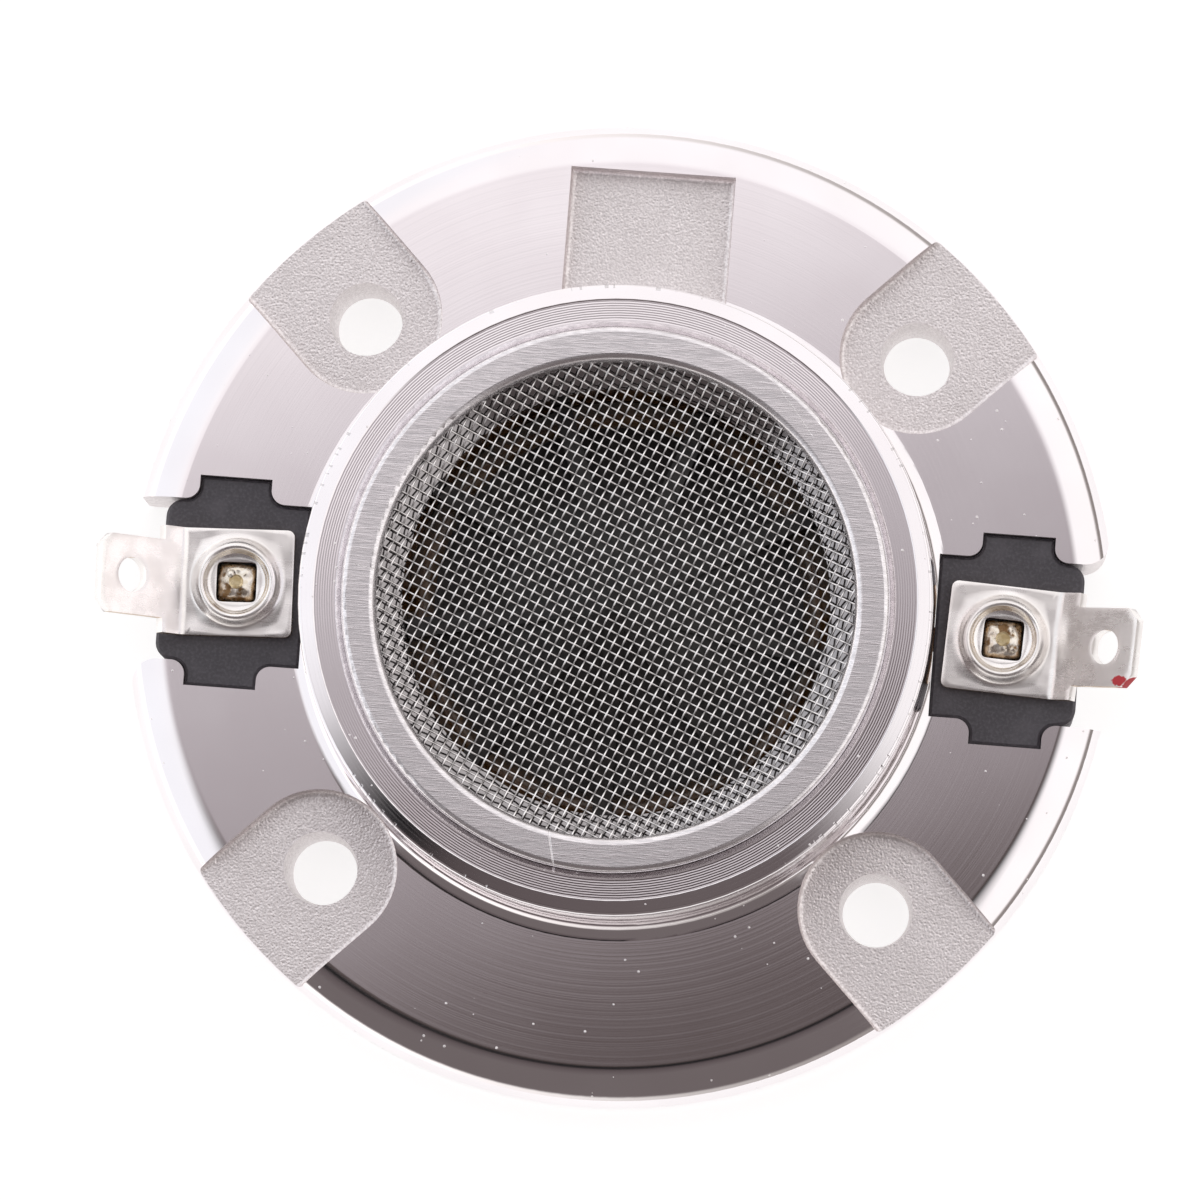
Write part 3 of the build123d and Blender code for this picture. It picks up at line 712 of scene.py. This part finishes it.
def terminal_skin(seed):
    sheet = Sheet(seed)
    rows = strip_rows()
    half, tab = BLANK_WIDTH / 2, TAB_WIDTH / 2
    left, right = BLANK_START - PIN_X, BEND_START - PIN_X
    corner = []
    for i in range(5):
        turn = math.pi / 2 * (1 + i / 4)
        x = left + BLANK_CORNER * (1 + math.cos(turn))
        corner.append((x, half - BLANK_CORNER * (1 - math.sin(turn))))
    lower_corner = [(x, -y) for x, y in reversed(corner)]
    edge = [(right, y) for y in rows]
    outline = edge[:-1] + walk([(right, half), corner[0]], 0.45)[:-1] + corner[:-1]
    outline += walk([corner[-1], lower_corner[0]], 0.45)[:-1] + lower_corner[:-1]
    outline += walk([lower_corner[-1], (right, -half)], 0.45)[:-1]
    foot = on_circle(outline, CUP_PROFILE[0][0])
    hole = on_square(outline, CUP_HOLE / 2)
    shapes = [hole, [between(a, b, 0.5) for a, b in zip(hole, foot)]]
    shapes += [on_circle(outline, radius) for radius, _ in CUP_PROFILE]
    last = shapes[-1]
    shapes += [[between(a, b, share) for a, b in zip(last, outline)] for share in (0.4, 0.75, 1.0)]
    sheet.rings(PIN_X, shapes)

    tab_start = BEND_START + bend_arc() + NECK_LENGTH
    bends = [BEND_START + bend_arc() * i / 8 for i in range(9)]
    necks = [bends[-1] + NECK_LENGTH * i / 3 for i in range(1, 4)]
    sheet.quad_rows([[sheet.point(run, y) for y in rows] for run in bends + necks])

    centre = TAB_LENGTH - TAB_HOLE_FROM_END
    near, far = -centre, TAB_HOLE_FROM_END
    inner_rows = [y for y in rows if abs(y) <= tab + 1e-6]
    cut = far - TAB_CORNER
    tip = [(cut, tab), (far, tab - TAB_CORNER), (far, -tab + TAB_CORNER), (cut, -tab)]
    outline = [(near, y) for y in reversed(inner_rows)][:-1]
    outline += walk([(near, -tab), *reversed(tip), (near, tab)], 0.45)[:-1]
    hole = on_circle(outline, TAB_HOLE_RADIUS)
    collar = on_circle(outline, TAB_HOLE_RADIUS + 0.45)
    shapes = [hole, collar]
    shapes += [[between(a, b, share) for a, b in zip(collar, outline)] for share in (0.33, 0.66, 1.0)]
    sheet.rings(tab_start + centre, shapes)
    return sheet


def terminal(side, look, seed):
    """A soldering terminal: a formed cup on a flat blank, bent up into a spade tab."""
    sheet = terminal_skin(seed)
    turn = Matrix.Rotation(TERMINAL_TURN, 3, "Z")
    pin = Vector((PIN_X, 0, 0))
    points = [turn @ (p - pin) + pin for p in sheet.points]
    faces = sheet.faces
    if side == "left":
        points = [Vector((-p.x, p.y, p.z)) for p in points]
        faces = [tuple(reversed(face)) for face in faces]
    obj = piece("terminal_sheet_" + side, points, faces, look)
    data = obj.data
    if sum(face.normal.z for face in data.polygons) < 0:
        data.flip_normals()
    thick = obj.modifiers.new("thickness", "SOLIDIFY")
    thick.thickness = SHEET * MM
    thick.offset = -1.0
    thick.use_even_offset = True
    edge = obj.modifiers.new("edge", "BEVEL")
    edge.width = 0.09 * MM
    edge.segments = 2
    edge.limit_method = "ANGLE"
    edge.angle_limit = math.radians(50)
    edge.use_clamp_overlap = True
    edge.harden_normals = False
    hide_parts("terminal_" + side)
    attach(obj, "frame")


def solder(side, look, seed, stub):
    """The lump of solder in a cup's square hole, square below and round above, with the lead's cut end."""
    sign = -1 if side == "left" else 1
    around, up = 48, 12
    base, height, spread = SHEET_BOTTOM_Z + 0.02, 1.45, 1.6
    points, faces = [], []
    for i in range(up + 1):
        share = i / up
        level = math.sin(share * math.pi / 2)
        reach = spread * math.cos(share * math.pi / 2) ** 0.6 if i < up else 0.02
        for k in range(around):
            turn = 2 * math.pi * k / around
            c, s = math.cos(turn), math.sin(turn)
            squared = reach * (1 + (square_reach(c, s) - 1) * (1 - share))
            x, y = squared * c, squared * s
            lump = noise.noise((x * 1.1, y * 1.1, seed)) * 0.55
            lump += noise.noise((x * 2.7, y * 2.7, seed + 3)) * 0.22
            z = base + height * level * (0.88 + lump * 0.6 * level)
            points.append((sign * PIN_X + x, y, min(z, base + height)))
    for i in range(up):
        for k in range(around):
            n = (k + 1) % around
            faces.append((i * around + k, i * around + n, (i + 1) * around + n, (i + 1) * around + k))
    faces.append(tuple(up * around + k for k in range(around)))
    faces.append(tuple(reversed(range(around))))
    lead = []
    for step in range(5):
        lead.append(Vector((sign * PIN_X + stub[0] + 0.05 * step, stub[1], base + 0.6 + 0.26 * step)))
    tube_along(lead, 0.34, 14, points, faces)
    obj = piece("solder_lump_" + side, points, faces, look)
    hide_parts("solder_joint_" + side)
    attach(obj, "frame")


# ---------------------------------------------------------------- moving coil and leads


def winding(look):
    """Three layers of wire wound on the former."""
    wire = (WINDING_TOP_Z - WINDING_BOTTOM_Z) / (WINDING_TURNS + 1)
    points, faces = [], []
    steps = 96
    for layer in range(WINDING_LAYERS):
        radius = FORMER_OUTER + wire * (layer + 0.5)
        path = []
        for i in range(WINDING_TURNS * steps + 1):
            turn = 2 * math.pi * i / steps
            height = WINDING_BOTTOM_Z + wire * (0.5 + i / steps)
            path.append(Vector((radius * math.cos(turn), radius * math.sin(turn), height)))
        tube_along(path, wire / 2, 6, points, faces)
    obj = piece("coil_turns", points, faces, look)
    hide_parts("voice_coil_winding")
    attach(obj, "moving_coil")


def film_profile():
    """The film's middle line, from its inner to its outer clamped edge, as (radius, rise)."""
    inner_apex, outer_apex, bulge = APEX_RADIUS - 0.15, APEX_RADIUS + 0.15, 0.9
    line = [(FILM_INNER, 0.0), (INNER_FLANK - 0.5, 0.0)]
    for i in range(9):
        share = i / 8
        line.append((INNER_FLANK + (inner_apex - INNER_FLANK) * share, APEX_RISE * share**bulge))
    for i in range(9):
        share = i / 8
        line.append((outer_apex + (OUTER_FLANK - outer_apex) * share, APEX_RISE * (1 - share) ** bulge))
    return line + [(OUTER_FLANK + 0.5, 0.0), (FILM_OUTER, 0.0)]


def diaphragm(look):
    """The film, with shallow pleats pressed into both flanks of its V."""
    around, pleats = 288, 36
    line = film_profile()
    points, faces = [], []
    for k in range(around):
        turn = 2 * math.pi * k / around
        for side in (0.0, FILM):
            for radius, rise in line:
                flank = math.sin(math.pi * rise / APEX_RISE) if 0 < rise < APEX_RISE else 0.0
                lean = 0.5 if radius < APEX_RADIUS else -0.5
                pleat = 0.035 * flank * math.sin(pleats * turn + lean * math.pi)
                height = CLAMP_FACE_Z + side + rise + pleat
                points.append((radius * math.cos(turn), radius * math.sin(turn), height))
    size = len(line)
    for k in range(around):
        here, there = 2 * size * k, 2 * size * ((k + 1) % around)
        for i in range(size - 1):
            faces.append((here + i, here + i + 1, there + i + 1, there + i))
            faces.append((here + size + i, there + size + i, there + size + i + 1, here + size + i + 1))
        faces.append((here, there, there + size, here + size))
        last = size - 1
        faces.append((here + last, here + size + last, there + size + last, there + last))
    obj = piece("film_annulus", points, faces, look)
    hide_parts("diaphragm")
    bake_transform(obj)


def ribbon(side, look):
    """A flat lead from the winding, over the clamp ring's rear face, out to its pin."""
    sign = -1 if side == "left" else 1
    top, low = WINDING_TOP_Z + RIBBON / 2, RIBBON_TOP_Z - RIBBON / 2
    start, fall, landed = FORMER_OUTER + 0.1, 16.9, 18.3
    line = []
    for i in range(41):
        x = start + (landed + 0.6 - start) * i / 40
        line.append((x, top + (low - top) * smooth_step(fall, landed, x)))
    line += [(landed + 0.6 + (RIBBON_END - landed - 0.6) * i / 24, low) for i in range(1, 25)]
    rows = [(-1.0, 0.3), (-0.94, 0.9), (-0.5, 1.0), (0.0, 1.0), (0.5, 1.0), (0.94, 0.9), (1.0, 0.3)]
    points, faces = [], []
    loop = [(w, h) for w, h in rows] + [(w, -h) for w, h in reversed(rows)]
    for x, z in line:
        for w, h in loop:
            points.append((sign * x, w * RIBBON_WIDTH / 2, z + h * RIBBON / 2))
    size = len(loop)
    for i in range(len(line) - 1):
        for k in range(size):
            n = (k + 1) % size
            faces.append((i * size + k, i * size + n, (i + 1) * size + n, (i + 1) * size + k))
    faces.append(tuple(range(size)))
    faces.append(tuple((len(line) - 1) * size + k for k in reversed(range(size))))
    obj = piece("ribbon_strip_" + side, points, faces, look)
    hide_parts("lead_ribbon_" + side)
    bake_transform(obj)


# ---------------------------------------------------------------- stage, light and camera


def floor():
    size = 6.0
    data = bpy.data.meshes.new("floor")
    z = -0.02 * MM
    corners = [(-size, -size, z), (size, -size, z), (size, size, z), (-size, size, z)]
    data.from_pydata(corners, [], [(0, 1, 2, 3)])
    look = Look("floor", (0.34, 0.34, 0.34), 0.0, 0.8, Specular_IOR_Level=0.2)
    look.set("Emission Color", (1.0, 0.985, 0.98))
    look.set("Emission Strength", 0.82)
    data.materials.append(look.material)
    obj = bpy.data.objects.new("floor", data)
    bpy.context.scene.collection.objects.link(obj)


def studio():
    """A room that is dark straight overhead and towards -Y, and grows bright towards +Y and both sides."""
    world = bpy.data.worlds.new("studio")
    bpy.context.scene.world = world
    world.use_nodes = True
    tree = world.node_tree
    background = tree.nodes["Background"]

    def node(kind, settings, *inputs):
        made = tree.nodes.new("ShaderNode" + kind)
        for name, value in settings.items():
            setattr(made, name, value)
        for socket, value in zip(made.inputs, inputs):
            if isinstance(value, bpy.types.NodeSocket):
                tree.links.new(value, socket)
            elif value is not None:
                socket.default_value = value
        return made

    def math_node(operation, a, b=0.0):
        return node("Math", {"operation": operation}, a, b).outputs[0]

    def rise(value, low, high):
        made = node("MapRange", {"interpolation_type": "SMOOTHSTEP"}, value, low, high)
        return made.outputs["Result"]

    def mix(factor, a, b):
        made = node("Mix", {"data_type": "RGBA"}, factor)
        for socket, value in ((made.inputs[6], a), (made.inputs[7], b)):
            if isinstance(value, bpy.types.NodeSocket):
                tree.links.new(value, socket)
            else:
                socket.default_value = value
        return made.outputs[2]

    direction = node("TexCoord", {}).outputs["Generated"]
    x, y, z = node("SeparateXYZ", {}, direction).outputs
    lean = math_node("SUBTRACT", y, math_node("MULTIPLY", x, 0.35))
    span = 0.6
    overhead = node("ValToRGB", {}, math_node("ADD", math_node("DIVIDE", lean, span), 0.5))
    stops = (
        (-0.3, (0.17, 0.145, 0.145)), (-0.15, (0.125, 0.102, 0.104)), (-0.1, (0.09, 0.073, 0.074)),
        (-0.065, (0.02, 0.018, 0.019)), (-0.03, (0.012, 0.012, 0.013)), (0.015, (0.07, 0.056, 0.054)),
        (0.056, (0.11, 0.088, 0.087)), (0.068, (0.13, 0.106, 0.105)), (0.077, (0.26, 0.225, 0.23)),
        (0.095, (0.42, 0.38, 0.395)), (0.127, (0.53, 0.49, 0.51)), (0.154, (0.7, 0.65, 0.675)),
        (0.163, (0.86, 0.81, 0.83)), (0.178, (1.02, 0.97, 0.99)), (0.3, (1.12, 1.09, 1.1)),
    )
    ramp = overhead.color_ramp
    ramp.elements[0].color = (*stops[0][1], 1)
    ramp.elements[-1].color = (*stops[-1][1], 1)
    for place, color in stops[1:-1]:
        ramp.elements.new(place / span + 0.5).color = (*color, 1)
    behind = math_node("MAXIMUM", math_node("MULTIPLY", y, -1.0), 0.0)
    off_axis = math_node("ABSOLUTE", math_node("ADD", x, 0.05))
    wedge = math_node("SUBTRACT", off_axis, math_node("MULTIPLY", behind, 0.7))
    beside = rise(wedge, 0.1, 0.34)
    low = math_node("SUBTRACT", 1.0, rise(z, 0.17, 0.34))
    across = rise(x, -0.8, 0.8)
    sides = mix(across, (1.04, 1.05, 1.09, 1), (1.16, 1.12, 1.11, 1))
    upper = mix(beside, overhead.outputs["Color"], sides)
    horizon = mix(across, (1.45, 1.4, 1.37, 1), (0.3, 0.27, 0.255, 1))
    tree.links.new(mix(low, upper, horizon), background.inputs["Color"])


def camera():
    place = Vector((24.1, -60.5, 581.7)) * MM
    aim = Vector((-1.6, 0.8, 8.0)) * MM
    roll = math.radians(4.54)
    forward = (aim - place).normalized()
    right = forward.cross(Vector((0, 1, 0))).normalized()
    up = right.cross(forward)
    turned_right = right * math.cos(roll) + up * math.sin(roll)
    turned_up = up * math.cos(roll) - right * math.sin(roll)
    data = bpy.data.cameras.new("camera")
    data.lens = 214.7
    data.sensor_width = 36.0
    data.clip_start = 0.01
    obj = bpy.data.objects.new("camera", data)
    obj.matrix_world = Matrix((
        (*turned_right, 0), (*turned_up, 0), (*-forward, 0), (0, 0, 0, 1))).transposed()
    obj.matrix_world.translation = place
    bpy.context.scene.collection.objects.link(obj)
    bpy.context.scene.camera = obj


camera()
studio()
floor()
bpy.context.scene.view_settings.view_transform = "Standard"

finish_cad_nodes()
woven_screen()
tab_tip = (41.3, -3.1, 12.6)
terminal("right", tinned_brass("tinned_brass_right", tab_tip), 1.7)
terminal("left", tinned_brass("tinned_brass_left"), 8.3)
solder_look = soft_solder()
solder("right", solder_look, 4.2, (0.75, -0.75))
solder("left", solder_look, 9.6, (-0.6, 0.6))
winding(enamelled_wire())
diaphragm(amber_film())
copper = drawn_metal("ribbon_copper", (0.5, 0.22, 0.12), (0.75, 0.4, 0.25))
for side in ("left", "right"):
    ribbon(side, copper)
